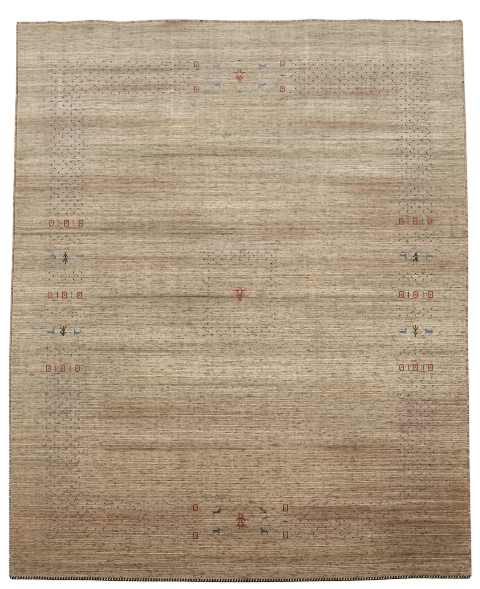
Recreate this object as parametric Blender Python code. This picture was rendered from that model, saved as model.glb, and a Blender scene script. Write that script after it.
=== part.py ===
"""Loom-woven gabbeh rug, lying flat, pile side up.

Units are metres, +Z is up, +Y runs along the rug towards its top end and +X
towards its right-hand side.  The underside lies in the plane z = 0 and the
rug's bounding box is centred on the Z axis.

Five pieces: the piled cloth itself, the two overcast side cords (selvedges)
and the two overcast end bindings.
"""

import math
from collections import namedtuple

import bmesh
import bpy
from mathutils import Vector

# --- driving dimensions -------------------------------------------------------

WIDTH = 2.440              # nominal loom width, outside the side cords
LENGTH = 3.010             # nominal length, outside the end bindings
PILE_TOP = 0.0120          # foundation about 3 mm and pile about 9 mm
FOUNDATION = 0.0055        # height of the upright edge of the cloth
EDGE_ROLL = 0.0100         # how far in the pile rounds over at its edge

CORD_WIDTH = 0.0100        # overcast cord, across
CORD_HEIGHT = 0.0100       # overcast cord, upwards
CORD_SIDES = 12            # facets round the cord
GAP = 0.0003               # clearance between pieces

BODY_COLUMNS = 34          # even columns across the cloth, before the creases
BODY_ROWS = 22             # rows along the cloth

PILE_WAVE = 0.0005         # slight rise and fall of the pile

# the end bindings' tips: distance in from the tip, and share of the full section
TIP = [(0.0040, 1.0), (0.0015, 0.86), (0.0, 0.60)]

# --- outline: how far each edge stands out of the nominal rectangle, in mm ----
# The sides belly out a little at mid-length, the top end is slightly wavy and
# the bottom end bows down in its middle and draws up towards the right.

SideRow = namedtuple("SideRow", "y_mm left_out right_out")
SIDES = [
    SideRow(-1505, -3.0, 3.0),
    SideRow(-1320, -1.0, 2.0),
    SideRow(-1060, 3.0, 0.5),
    SideRow(-800, 6.0, 0.5),
    SideRow(-600, 10.5, 2.0),
    SideRow(-370, 13.0, 1.5),
    SideRow(-160, 11.0, 1.5),
    SideRow(60, 8.5, 6.5),
    SideRow(270, 4.5, 9.5),
    SideRow(500, 4.5, 10.0),
    SideRow(720, 1.5, 8.5),
    SideRow(930, 1.0, 7.0),
    SideRow(1150, -2.0, 2.0),
    SideRow(1370, -1.0, -1.0),
    SideRow(1505, 1.0, -2.5),
]

EndRow = namedtuple("EndRow", "x_mm top_out bottom_out")
ENDS = [
    EndRow(-1220, -7.5, -5.0),
    EndRow(-1075, -6.0, -4.0),
    EndRow(-1036, -2.5, -3.0),
    EndRow(-985, -7.0, -1.5),
    EndRow(-800, 3.0, 0.0),
    EndRow(-660, -5.5, 3.5),
    EndRow(-510, 1.5, 6.0),
    EndRow(-370, 6.5, 6.0),
    EndRow(-210, 4.0, 8.0),
    EndRow(-50, 0.0, 10.0),
    EndRow(110, 0.5, 9.5),
    EndRow(270, 1.0, 7.5),
    EndRow(405, 7.5, 5.5),
    EndRow(560, 2.5, 3.0),
    EndRow(700, 7.0, -0.5),
    EndRow(815, 3.0, -6.0),
    EndRow(930, 5.0, -10.0),
    EndRow(1030, -1.0, -9.5),
    EndRow(1150, -1.0, -8.5),
    EndRow(1220, 2.5, -8.5),
]

# --- soft creases left by folding, running the length of the rug --------------

Crease = namedtuple("Crease", "x_top x_bottom rise_top rise_bottom half_width")
CREASES = [
    Crease(-0.980, -0.975, 0.0014, 0.0004, 0.030),
    Crease(-0.367, -0.372, 0.0016, 0.0006, 0.030),
    Crease(0.367, 0.372, 0.0014, 0.0006, 0.030),
    Crease(0.913, 0.918, 0.0012, 0.0004, 0.030),
]

# --- colours ------------------------------------------------------------------

FIELD_COLOUR = (0.45, 0.36, 0.25, 1.0)
SIDE_COLOUR = (0.30, 0.20, 0.13, 1.0)
TOP_COLOUR = (0.42, 0.28, 0.20, 1.0)
BOTTOM_COLOUR = (0.05, 0.04, 0.02, 1.0)


# --- outline helpers ----------------------------------------------------------


def smooth_value(rows, key, column, at_mm):
    """Value of a column at a place along an edge, joined by a smooth curve."""
    xs = [getattr(r, key) for r in rows]
    ys = [getattr(r, column) for r in rows]
    if at_mm <= xs[0]:
        return ys[0]
    if at_mm >= xs[-1]:
        return ys[-1]
    i = max(k for k in range(len(xs) - 1) if xs[k] <= at_mm)

    def slope(k):
        a, b = max(k - 1, 0), min(k + 1, len(xs) - 1)
        return (ys[b] - ys[a]) / (xs[b] - xs[a])

    h = xs[i + 1] - xs[i]
    t = (at_mm - xs[i]) / h
    return (
        ys[i] * (2 * t**3 - 3 * t**2 + 1)
        + ys[i + 1] * (3 * t**2 - 2 * t**3)
        + slope(i) * h * (t**3 - 2 * t**2 + t)
        + slope(i + 1) * h * (t**3 - t**2)
    )


def side_out(column, y):
    return smooth_value(SIDES, "y_mm", column, y * 1000) / 1000


def end_out(column, x):
    return smooth_value(ENDS, "x_mm", column, x * 1000) / 1000


def place(s, t, inset=0.0):
    """Point of the outline's own grid: s and t run from -1 to 1 across and along.

    The uneven edges fade towards the middle, so the rows of knots follow the
    ends and stay straight in the field.  inset draws the outline in evenly.
    """
    x0, y0 = s * WIDTH / 2, t * LENGTH / 2
    out_x = side_out("right_out" if s > 0 else "left_out", y0)
    out_y = end_out("top_out" if t > 0 else "bottom_out", x0)
    half_w, half_l = WIDTH / 2 - inset + out_x, LENGTH / 2 - inset + out_y
    return s * half_w, t * half_l


def crease_rise(x, y):
    rise = 0.0
    for c in CREASES:
        f = 0.5 + y / LENGTH
        cx = c.x_bottom + (c.x_top - c.x_bottom) * f
        h = c.rise_bottom + (c.rise_top - c.rise_bottom) * f
        d = abs(x - cx) / c.half_width
        if d < 1:
            rise += h * 0.5 * (1 + math.cos(math.pi * d))
    return rise


def pile_height(x, y):
    wave = math.sin(3.1 * x + 0.6) * math.sin(2.3 * y - 0.4)
    wave += 0.6 * math.sin(5.7 * y + 1.9 * x)
    return PILE_TOP + PILE_WAVE * 0.6 * wave + crease_rise(x, y)


# --- object helpers -----------------------------------------------------------


def make_material(name, colour, roughness):
    mat = bpy.data.materials.new(name)
    mat.use_nodes = True
    shader = mat.node_tree.nodes["Principled BSDF"]
    shader.inputs["Base Color"].default_value = colour
    shader.inputs["Roughness"].default_value = roughness
    shader.inputs["Metallic"].default_value = 0.0
    mat.diffuse_color = colour
    return mat


def add_object(name, bm, material, smooth=True):
    bmesh.ops.recalc_face_normals(bm, faces=bm.faces)
    mesh = bpy.data.meshes.new(name)
    bm.to_mesh(mesh)
    bm.free()
    if smooth:
        mesh.shade_smooth()
        mesh.set_sharp_from_angle(angle=math.radians(40))
    mesh.materials.append(material)
    obj = bpy.data.objects.new(name, mesh)
    bpy.context.scene.collection.objects.link(obj)
    return obj


# --- the cloth ----------------------------------------------------------------


def body_columns():
    """Even columns with three more lines at each crease, in -1..1."""
    inner = 1 - 2 * EDGE_ROLL / WIDTH
    cols = [-inner + 2 * inner * i / BODY_COLUMNS for i in range(BODY_COLUMNS + 1)]
    extra = []
    for c in CREASES:
        for k in (-1, 0, 1):
            extra.append(((c.x_top + c.x_bottom) / 2 + k * c.half_width * 0.55) / (WIDTH / 2))
    near = 0.012
    cols = [c for c in cols if all(abs(c - e) > near for e in extra)]
    return sorted(cols + extra)


def body_rows():
    inner = 1 - 2 * EDGE_ROLL / LENGTH
    return [-inner + 2 * inner * j / BODY_ROWS for j in range(BODY_ROWS + 1)]


def make_body():
    inset = CORD_WIDTH + GAP
    bm = bmesh.new()
    cols, rows = body_columns(), body_rows()
    n, m = len(cols), len(rows)

    grid = {}
    for j, t in enumerate(rows):
        for i, s in enumerate(cols):
            x, y = place(s, t, inset)
            grid[i, j] = bm.verts.new((x, y, pile_height(x, y)))
    for j in range(m - 1):
        for i in range(n - 1):
            bm.faces.new((grid[i, j], grid[i + 1, j], grid[i + 1, j + 1], grid[i, j + 1]))

    # the pile rounds over at the rim, then an upright edge drops to the floor
    rim = [(i, 0) for i in range(n - 1)]
    rim += [(n - 1, j) for j in range(m - 1)]
    rim += [(i, m - 1) for i in range(n - 1, 0, -1)]
    rim += [(0, j) for j in range(m - 1, 0, -1)]

    def edge_place(i, j, out):
        """Rim point pushed outwards by a share of the rounded edge."""
        s, t = cols[i], rows[j]
        if i == 0:
            s = s + (-1 - s) * out
        if i == n - 1:
            s = s + (1 - s) * out
        if j == 0:
            t = t + (-1 - t) * out
        if j == m - 1:
            t = t + (1 - t) * out
        return place(s, t, inset)

    ring = [grid[k] for k in rim]
    for out, height in ((0.62, 0.86), (1.0, None), (1.0, 0.0)):
        new = []
        for k, (i, j) in enumerate(rim):
            x, y = edge_place(i, j, out)
            if height is None:
                z = FOUNDATION
            elif height == 0.0:
                z = 0.0
            else:
                z = PILE_TOP * height
            new.append(bm.verts.new((x, y, z)))
        for k in range(len(rim)):
            a, b = k, (k + 1) % len(rim)
            bm.faces.new((ring[b], ring[a], new[a], new[b]))
        ring = new
    bm.faces.new(ring)
    return add_object("rug_body", bm, make_material("wool_field", FIELD_COLOUR, 0.95))


# --- overcast cords -----------------------------------------------------------


def cord_section(scale=1.0):
    """Round cord with a flat where it rests, as (across, up) points."""
    pts = []
    for k in range(CORD_SIDES):
        a = 2 * math.pi * (k + 0.5) / CORD_SIDES
        r_up = CORD_HEIGHT * 0.54
        across = math.cos(a) * CORD_WIDTH / 2 / math.cos(math.pi / CORD_SIDES)
        up = CORD_HEIGHT - r_up * math.cos(math.pi / CORD_SIDES) + math.sin(a) * r_up
        pts.append((across * scale, max(up * (0.35 + 0.65 * scale), 0.0)))
    return pts


def sweep_cord(name, centre_line, material):
    """Loft the cord's section along (x, y, scale) stations of its centre line."""
    bm = bmesh.new()
    rings = []
    count = len(centre_line)
    for k, (x, y, scale) in enumerate(centre_line):
        a = centre_line[max(k - 1, 0)]
        b = centre_line[min(k + 1, count - 1)]
        along = Vector((b[0] - a[0], b[1] - a[1], 0)).normalized()
        across = Vector((along.y, -along.x, 0))
        rings.append([
            bm.verts.new((x + across.x * u, y + across.y * u, w))
            for u, w in cord_section(scale)
        ])
    for r0, r1 in zip(rings, rings[1:]):
        for i in range(CORD_SIDES):
            j = (i + 1) % CORD_SIDES
            bm.faces.new((r0[i], r0[j], r1[j], r1[i]))
    bm.faces.new(list(reversed(rings[0])))
    bm.faces.new(rings[-1])
    return add_object(name, bm, material)


def make_end(name, t, material):
    """End binding: follows the cloth's end and runs out past both side cords."""
    inset = CORD_WIDTH + GAP
    shift = math.copysign(GAP + CORD_WIDTH / 2, t)
    rim = [place(s, t, inset) for s in [-1.0] + body_columns()[1:-1] + [1.0]]
    line = [(x, y + shift, 1.0) for x, y in rim]
    for step, scale in TIP:
        out = CORD_WIDTH + GAP - step
        line.insert(0, (rim[0][0] - out, rim[0][1] + shift, scale))
        line.append((rim[-1][0] + out, rim[-1][1] + shift, scale))
    return sweep_cord(name, line, material)


def make_side(name, s, material):
    """Side cord: follows the cloth's side and butts against both end bindings."""
    inset = CORD_WIDTH + GAP
    shift = math.copysign(GAP + CORD_WIDTH / 2, s)
    rim = [place(s, t, inset) for t in [-1.0] + body_rows()[1:-1] + [1.0]]
    return sweep_cord(name, [(x + shift, y, 1.0) for x, y in rim], material)


# --- build --------------------------------------------------------------------


def centre_on_origin(objects):
    """Moves the pieces together so that the rug's box is centred on the Z axis."""
    points = [v.co for o in objects for v in o.data.vertices]
    cx = (min(p.x for p in points) + max(p.x for p in points)) / 2
    cy = (min(p.y for p in points) + max(p.y for p in points)) / 2
    for obj in objects:
        obj.location = (-cx, -cy, 0.0)


def main():
    for obj in list(bpy.data.objects):
        bpy.data.objects.remove(obj, do_unlink=True)
    side = make_material("wool_side_cord", SIDE_COLOUR, 0.9)
    top = make_material("wool_top_binding", TOP_COLOUR, 0.9)
    bottom = make_material("wool_bottom_binding", BOTTOM_COLOUR, 0.9)
    pieces = [
        make_body(),
        make_side("selvedge_left", -1.0, side),
        make_side("selvedge_right", 1.0, side),
        make_end("end_binding_top", 1.0, top),
        make_end("end_binding_bottom", -1.0, bottom),
    ]
    centre_on_origin(pieces)


main()
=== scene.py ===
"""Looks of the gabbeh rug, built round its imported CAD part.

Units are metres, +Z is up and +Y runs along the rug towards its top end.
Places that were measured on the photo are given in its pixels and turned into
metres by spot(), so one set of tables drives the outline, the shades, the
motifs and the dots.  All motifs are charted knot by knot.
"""

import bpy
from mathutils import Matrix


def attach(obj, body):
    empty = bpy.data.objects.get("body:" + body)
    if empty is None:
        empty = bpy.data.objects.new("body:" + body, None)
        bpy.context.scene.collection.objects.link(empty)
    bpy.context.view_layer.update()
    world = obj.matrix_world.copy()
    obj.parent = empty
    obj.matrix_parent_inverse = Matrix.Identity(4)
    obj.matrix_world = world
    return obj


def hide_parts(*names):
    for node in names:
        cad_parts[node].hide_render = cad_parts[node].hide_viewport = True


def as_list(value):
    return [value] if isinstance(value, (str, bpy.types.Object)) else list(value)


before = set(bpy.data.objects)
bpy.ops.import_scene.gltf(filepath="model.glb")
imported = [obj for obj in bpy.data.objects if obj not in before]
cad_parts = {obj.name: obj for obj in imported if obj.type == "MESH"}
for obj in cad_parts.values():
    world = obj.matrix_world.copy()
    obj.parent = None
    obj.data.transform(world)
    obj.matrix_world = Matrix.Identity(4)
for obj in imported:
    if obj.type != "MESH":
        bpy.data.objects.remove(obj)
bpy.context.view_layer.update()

import math
from collections import namedtuple

import bpy
import numpy as np

rng = np.random.default_rng(41)

# --- sizes, the same as the CAD part's ------------------------------------------

WIDTH = 2.440
LENGTH = 3.010
PILE_TOP = 0.0120
FOUNDATION = 0.0055
EDGE_ROLL = 0.0100
CORD_WIDTH = 0.0100
GAP = 0.0003
PILE_WAVE = 0.0005
INSET = CORD_WIDTH + GAP
CENTRE = np.array([0.0015, 0.00125])   # the CAD part is centred on its own box

SideRow = namedtuple("SideRow", "y_mm left_out right_out")
SIDES = [SideRow(*r) for r in (
    (-1505, -3.0, 3.0), (-1320, -1.0, 2.0), (-1060, 3.0, 0.5), (-800, 6.0, 0.5),
    (-600, 10.5, 2.0), (-370, 13.0, 1.5), (-160, 11.0, 1.5), (60, 8.5, 6.5),
    (270, 4.5, 9.5), (500, 4.5, 10.0), (720, 1.5, 8.5), (930, 1.0, 7.0),
    (1150, -2.0, 2.0), (1370, -1.0, -1.0), (1505, 1.0, -2.5),
)]
EndRow = namedtuple("EndRow", "x_mm top_out bottom_out")
ENDS = [EndRow(*r) for r in (
    (-1220, -7.5, -5.0), (-1075, -6.0, -4.0), (-1036, -2.5, -3.0), (-985, -7.0, -1.5),
    (-800, 3.0, 0.0), (-660, -5.5, 3.5), (-510, 1.5, 6.0), (-370, 6.5, 6.0),
    (-210, 4.0, 8.0), (-50, 0.0, 10.0), (110, 0.5, 9.5), (270, 1.0, 7.5),
    (405, 7.5, 5.5), (560, 2.5, 3.0), (700, 7.0, -0.5), (815, 3.0, -6.0),
    (930, 5.0, -10.0), (1030, -1.0, -9.5), (1150, -1.0, -8.5), (1220, 2.5, -8.5),
)]
Crease = namedtuple("Crease", "x_top x_bottom rise_top rise_bottom half_width")
CREASES = [
    Crease(-0.980, -0.975, 0.0014, 0.0004, 0.030),
    Crease(-0.367, -0.372, 0.0016, 0.0006, 0.030),
    Crease(0.367, 0.372, 0.0014, 0.0006, 0.030),
    Crease(0.913, 0.918, 0.0012, 0.0004, 0.030),
]

# --- the loom: knots and the looks' own mesh -------------------------------------

KNOT_W = 0.0050        # one knot across
KNOT_H = 0.0045        # one row of knots
FIELD_COLUMNS = 128    # even columns of the field's mesh, before the creases
FIELD_ROWS = 560
BACK_EVERY = (11, 4)   # the underside takes every so manyeth column and row

# --- the photo's view ------------------------------------------------------------

VIEW_FAR = 6.0                     # from the camera to the rug's middle
VIEW_TILT = math.radians(4.046)
VIEW_SCALE = 1117.87               # focal length in the photo's pixels
VIEW_MIDDLE = (239.75, 295.4)      # where the rug's middle lies in the photo
PHOTO = (480, 589)

LIGHT = 1.077                      # what a white, level face sends back


def spot(px, py):
    """Metres on the rug, seen at a pixel of the photo."""
    a = (np.asarray(px, float) - VIEW_MIDDLE[0]) / VIEW_SCALE
    b = -(np.asarray(py, float) - VIEW_MIDDLE[1]) / VIEW_SCALE
    y = b * VIEW_FAR / (math.cos(VIEW_TILT) - b * math.sin(VIEW_TILT))
    return a * (VIEW_FAR + y * math.sin(VIEW_TILT)), y


def pixel(x, y):
    """The photo's pixel at which a place on the rug is seen."""
    far = VIEW_FAR + y * math.sin(VIEW_TILT)
    return (VIEW_MIDDLE[0] + VIEW_SCALE * x / far,
            VIEW_MIDDLE[1] - VIEW_SCALE * y * math.cos(VIEW_TILT) / far)


# --- outline ---------------------------------------------------------------------


def smooth_value(rows, key, column, at_mm):
    xs = [getattr(r, key) for r in rows]
    ys = [getattr(r, column) for r in rows]
    if at_mm <= xs[0]:
        return ys[0]
    if at_mm >= xs[-1]:
        return ys[-1]
    i = max(k for k in range(len(xs) - 1) if xs[k] <= at_mm)

    def slope(k):
        a, b = max(k - 1, 0), min(k + 1, len(xs) - 1)
        return (ys[b] - ys[a]) / (xs[b] - xs[a])

    h = xs[i + 1] - xs[i]
    t = (at_mm - xs[i]) / h
    return (ys[i] * (2 * t**3 - 3 * t**2 + 1) + ys[i + 1] * (3 * t**2 - 2 * t**3)
            + slope(i) * h * (t**3 - 2 * t**2 + t) + slope(i + 1) * h * (t**3 - t**2))


def out_side(column, t):
    return np.array([smooth_value(SIDES, "y_mm", column, v * LENGTH * 500) / 1000 for v in t])


def out_end(column, s):
    return np.array([smooth_value(ENDS, "x_mm", column, v * WIDTH * 500) / 1000 for v in s])


def place(s, t, inset=INSET):
    """Points of the outline's own grid, for lists s (across) and t (along), rows first."""
    s, t = np.atleast_1d(np.asarray(s, float)), np.atleast_1d(np.asarray(t, float))
    left, right = out_side("left_out", t)[:, None], out_side("right_out", t)[:, None]
    top, bottom = out_end("top_out", s)[None], out_end("bottom_out", s)[None]
    x = s[None] * (WIDTH / 2 - inset + np.where(s[None] > 0, right, left))
    y = t[:, None] * (LENGTH / 2 - inset + np.where(t[:, None] > 0, top, bottom))
    return x, y


def crease_rise(x, y):
    rise = 0.0
    for c in CREASES:
        f = 0.5 + y / LENGTH
        middle = c.x_bottom + (c.x_top - c.x_bottom) * f
        high = c.rise_bottom + (c.rise_top - c.rise_bottom) * f
        d = np.clip(np.abs(x - middle) / c.half_width, 0, 1)
        rise = rise + high * 0.5 * (1 + np.cos(np.pi * d))
    return rise


def pile_height(x, y):
    wave = np.sin(3.1 * x + 0.6) * np.sin(2.3 * y - 0.4) + 0.6 * np.sin(5.7 * y + 1.9 * x)
    return PILE_TOP + PILE_WAVE * 0.6 * wave + crease_rise(x, y)


# --- shades of the field ----------------------------------------------------------
# Screen colours from 0 to 255 down the rug, then yarn lots that shift them.

# the ground colour darkens from the top end to the bottom end
GROUND = [
    (20, (184, 170, 147)), (50, (188, 174, 151)), (100, (187, 172, 149)),
    (150, (185, 170, 146)), (200, (183, 165, 141)), (290, (181, 163, 138)),
    (380, (178, 160, 134)), (430, (173, 152, 126)), (470, (167, 145, 118)),
    (520, (158, 134, 107)), (555, (149, 125, 98)), (580, (147, 124, 98)),
]
LOTS = {
    "pale": (1.045, 1.05, 1.065),
    "cream": (1.055, 1.052, 1.050),
    "warm": (1.03, 1.0, 0.96),
    "pink": (0.995, 0.975, 0.975),
    "rose": (0.955, 0.925, 0.905),
    "brown": (0.92, 0.89, 0.86),
    "deep": (0.83, 0.79, 0.74),
    "olive": (0.945, 0.945, 0.915),
    "grey": (0.955, 0.96, 0.965),
    "green_grey": (0.89, 0.89, 0.875),
    "dark": (0.76, 0.735, 0.70),
    "plum": (0.90, 0.85, 0.845),
    "blush": (1.05, 0.94, 0.92),
    "haze": (0.985, 0.982, 1.01),
    "mist": (0.985, 1.012, 1.05),
    "yellow": (1.04, 1.0, 0.84),
    "apricot": (1.04, 0.94, 0.84),
}

# x0, x1, y0, y1 in photo pixels, lot, how much of it
Patch = namedtuple("Patch", "x0 x1 y0 y1 lot much")
PATCHES = [Patch(*p) for p in (
    # top end
    (15, 90, 22, 34, "olive", 0.5), (150, 196, 24, 35, "olive", 0.8), (80, 95, 24, 32, "brown", 0.5),
    (300, 335, 27, 42, "olive", 0.5), (150, 190, 22, 29, "brown", 0.9), (236, 300, 21, 25, "brown", 0.7), (40, 66, 22, 27, "warm", 0.8), (355, 380, 28, 46, "green_grey", 0.5),
    (25, 200, 36, 46, "pink", 0.5), (230, 460, 36, 48, "grey", 0.5),
    (20, 460, 49, 62, "pale", 0.6), (220, 420, 50, 60, "cream", 0.6),
    (50, 200, 65, 96, "pink", 0.7), (60, 190, 66, 72, "brown", 0.5), (95, 180, 82, 90, "brown", 0.9),
    (285, 420, 64, 84, "rose", 0.5), (305, 385, 88, 99, "rose", 1.9), (305, 385, 88, 99, "brown", 0.35), (205, 275, 88, 100, "olive", 0.5),
    (15, 50, 60, 100, "olive", 0.35), (15, 60, 500, 545, "rose", 0.35), (425, 465, 50, 100, "grey", 0.6),
    (18, 200, 103, 116, "pale", 0.8), (200, 280, 103, 116, "warm", 0.5), (280, 460, 104, 115, "cream", 0.5), (405, 446, 104, 123, "pale", 0.7),
    (15, 150, 119, 130, "brown", 0.65), (150, 250, 118, 130, "warm", 0.6), (240, 310, 118, 130, "rose", 0.6),
    (300, 415, 120, 131, "rose", 1.1), (330, 412, 122, 130, "brown", 0.75),
    (20, 460, 133, 146, "pale", 0.8), (30, 200, 134, 144, "pink", 0.9),
    (165, 265, 147, 157, "brown", 0.8), (15, 165, 149, 157, "olive", 0.5), (270, 396, 149, 158, "olive", 0.4), (404, 446, 149, 160, "cream", 0.5),
    (385, 440, 150, 159, "brown", 0.15), (430, 465, 150, 175, "olive", 0.5),
    (15, 160, 160, 173, "pale", 1.3), (200, 385, 160, 173, "pale", 1.1),
    # upper middle
    (18, 190, 176, 197, "rose", 0.7), (88, 185, 177, 189, "brown", 0.35),
    (20, 48, 186, 203, "brown", 0.35), (345, 400, 178, 196, "rose", 0.8), (355, 470, 178, 232, "rose", 0.65),
    (370, 395, 200, 214, "brown", 0.6), (200, 345, 186, 220, "cream", 0.65),
    (290, 312, 204, 216, "pink", 1.0), (85, 205, 198, 220, "warm", 0.5),
    (80, 215, 221, 236, "brown", 0.9), (90, 160, 223, 232, "rose", 0.6), (200, 270, 226, 236, "brown", 0.7),
    (262, 322, 222, 238, "rose", 1.4), (280, 312, 225, 235, "deep", 0.3), (330, 400, 214, 236, "rose", 0.35),
    (15, 90, 239, 251, "pale", 0.9), (90, 200, 239, 251, "pale", 0.1), (200, 330, 238, 250, "pale", 0.4),
    (95, 200, 254, 271, "rose", 0.75), (200, 330, 256, 268, "olive", 0.5),
    (325, 465, 255, 270, "rose", 0.8), (420, 465, 258, 272, "brown", 0.35), (335, 405, 268, 284, "rose", 0.6),
    (15, 90, 254, 272, "grey", 0.5), (190, 330, 274, 292, "warm", 0.5), (15, 465, 284, 294, "pale", 0.7),
    # middle
    (75, 205, 295, 300, "green_grey", 0.6), (200, 410, 296, 301, "olive", 1.0), (280, 400, 295, 302, "rose", 0.5),
    (20, 90, 300, 322, "pale", 0.8), (135, 205, 308, 324, "rose", 0.15), (215, 300, 306, 324, "pale", 1.3),
    (300, 400, 304, 324, "rose", 0.4), (340, 470, 318, 342, "pale", 0.6), (404, 446, 332, 347, "cream", 0.9), (15, 470, 326, 340, "pale", 0.7),
    (95, 170, 342, 359, "olive", 0.9), (170, 290, 342, 356, "brown", 0.35), (395, 468, 348, 353, "green_grey", 0.4),
    (400, 466, 349, 357, "brown", 0.1), (15, 60, 352, 358, "brown", 0.4), (15, 58, 344, 352, "pale", 1.0),
    (150, 395, 359, 378, "pale", 0.9), (15, 80, 359, 372, "pale", 0.9), (120, 170, 368, 380, "warm", 0.5),
    (95, 300, 380, 389, "olive", 0.6), (15, 90, 374, 398, "grey", 0.5), (330, 400, 376, 394, "warm", 0.5),
    # lower middle
    (98, 232, 396, 424, "rose", 1.1), (110, 218, 401, 420, "brown", 0.45), (225, 330, 400, 422, "rose", 0.4),
    (400, 466, 397, 428, "plum", 0.6), (452, 470, 380, 412, "brown", 0.8), (15, 60, 410, 460, "olive", 0.6),
    (85, 335, 426, 441, "pale", 0.9), (85, 245, 442, 452, "brown", 1.0), (325, 462, 440, 458, "rose", 1.0),
    (335, 410, 444, 454, "brown", 0.5), (100, 320, 456, 478, "warm", 0.4), (110, 200, 462, 474, "cream", 0.4),
    (325, 468, 458, 500, "rose", 0.7), (385, 466, 462, 478, "brown", 0.7), (410, 466, 478, 500, "brown", 0.5), (225, 330, 476, 500, "cream", 0.4),
    (15, 90, 476, 500, "olive", 0.4),
    # bottom end
    (15, 195, 506, 524, "rose", 0.9), (60, 130, 510, 520, "brown", 0.3), (288, 466, 505, 524, "rose", 1.5),
    (300, 440, 508, 521, "brown", 0.9), (180, 285, 500, 512, "cream", 0.5), (200, 285, 524, 545, "rose", 0.4),
    (50, 195, 526, 545, "rose", 0.4), (385, 468, 498, 566, "deep", 0.85), (300, 390, 526, 545, "rose", 0.6),
    (60, 225, 548, 560, "warm", 0.4), (225, 290, 545, 565, "warm", 0.5), (290, 400, 548, 560, "brown", 0.5),
    (15, 60, 545, 575, "olive", 0.8), (60, 200, 562, 576, "olive", 0.7), (400, 466, 564, 577, "brown", 0.4),
    # the margins beside the side cords
    (12, 27, 152, 245, "brown", 0.6), (12, 25, 498, 574, "brown", 0.35), (451, 470, 478, 562, "brown", 0.65),
    # the weaver's own colour dust in the dotted parts and near the motifs
    (46, 192, 60, 96, "haze", 0.8), (290, 436, 60, 96, "haze", 0.8), (44, 86, 96, 214, "haze", 0.8),
    (394, 436, 96, 214, "haze", 0.8), (42, 82, 376, 502, "haze", 1.0), (396, 438, 376, 502, "haze", 1.0),
    (44, 192, 502, 540, "haze", 0.6), (290, 438, 502, 540, "haze", 0.6), (200, 280, 248, 256, "haze", 1.0),
    (48, 58, 256, 259, "yellow", 0.9), (82, 88, 255, 262, "apricot", 0.9), (60, 70, 219, 227, "yellow", 0.5),
    (56, 62, 291, 299, "yellow", 0.6), (80, 88, 275, 281, "pink", 1.2), (71, 76, 307, 311, "haze", 1.5),
    (208, 226, 61, 65, "apricot", 0.5), (254, 262, 70, 74, "apricot", 0.8), (40, 50, 368, 374, "yellow", 0.6),
    (396, 404, 228, 240, "pink", 1.0), (434, 440, 254, 262, "apricot", 0.3), (95, 150, 516, 519, "apricot", 0.5),
    (48, 132, 522.5, 525.5, "blush", 1.4), (60, 120, 536, 540, "yellow", 0.6), (244, 252, 76, 84, "olive", 0.5),
    (225, 237, 84, 92, "yellow", 0.4),
    (47, 58, 252, 262, "mist", 1.0), (75, 86, 252, 262, "mist", 1.0), (398, 409, 252, 262, "mist", 1.3),
    (424, 435, 252, 262, "mist", 1.0), (45, 56, 327, 337, "mist", 1.0), (72, 83, 327, 337, "mist", 1.0),
    (397, 409, 326, 337, "mist", 1.0), (423, 435, 327, 337, "mist", 1.2), (211, 223, 62, 72, "mist", 0.7),
    (211, 223, 80, 90, "mist", 0.5), (256, 268, 62, 72, "mist", 0.7), (256, 268, 81, 91, "mist", 0.4),
    (190, 201, 500, 543, "rose", 1.0), (211, 270, 503, 516, "deep", 0.35), (211, 270, 526, 537, "deep", 0.35),
    (44, 86, 216, 230, "pink", 0.6), (43, 85, 289, 302, "pink", 0.6), (42, 83, 362, 375, "pink", 0.6),
    (396, 436, 215, 228, "pink", 0.6), (396, 436, 288, 301, "pink", 0.6), (396, 436, 361, 374, "pink", 0.6),
    (230, 250, 68, 85, "blush", 0.5), (231, 249, 287, 303, "blush", 0.7), (232, 250, 512, 531, "blush", 0.5),
)]

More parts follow.
